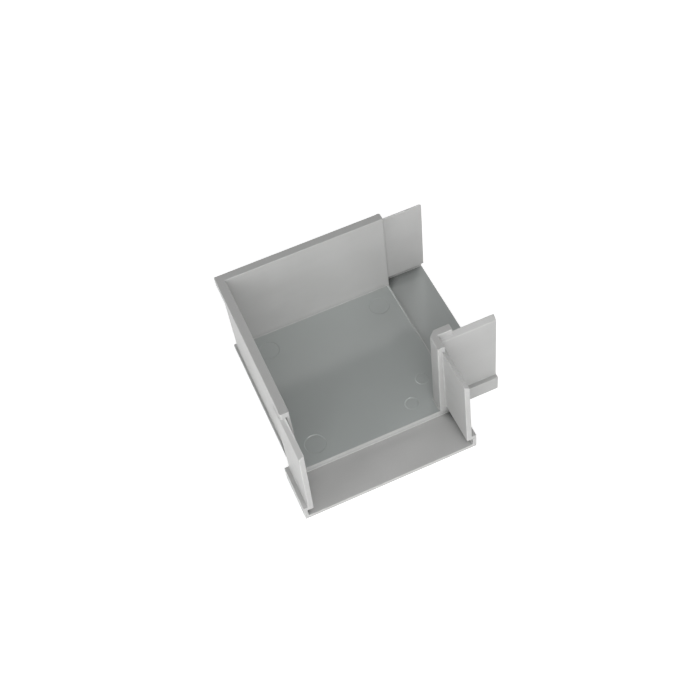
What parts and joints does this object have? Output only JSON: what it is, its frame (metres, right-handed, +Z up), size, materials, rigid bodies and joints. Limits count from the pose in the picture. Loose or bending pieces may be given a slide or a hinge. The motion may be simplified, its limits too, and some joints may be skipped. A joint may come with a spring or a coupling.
{
  "type": "drain channel corner joiner",
  "caption": "Right-angle joiner for a U-shaped drain channel: an open square tray with lipped outer walls, an inner post and slotted sockets that take the channel ends.",
  "frame": {"origin": "Middle of the bounding box, on the plane that the base stands on", "axes": "+Z up; one socket opens towards +X and the other towards -Y, so the outer corner of the walls points to -X +Y"},
  "size_m": [0.1296, 0.1296, 0.065],
  "materials": {
    "grey_pvc": "satin, as moulded, light grey"
  },
  "bodies": {
    "root": {"corner_joiner": "grey_pvc"}
  },
  "joints": []
}
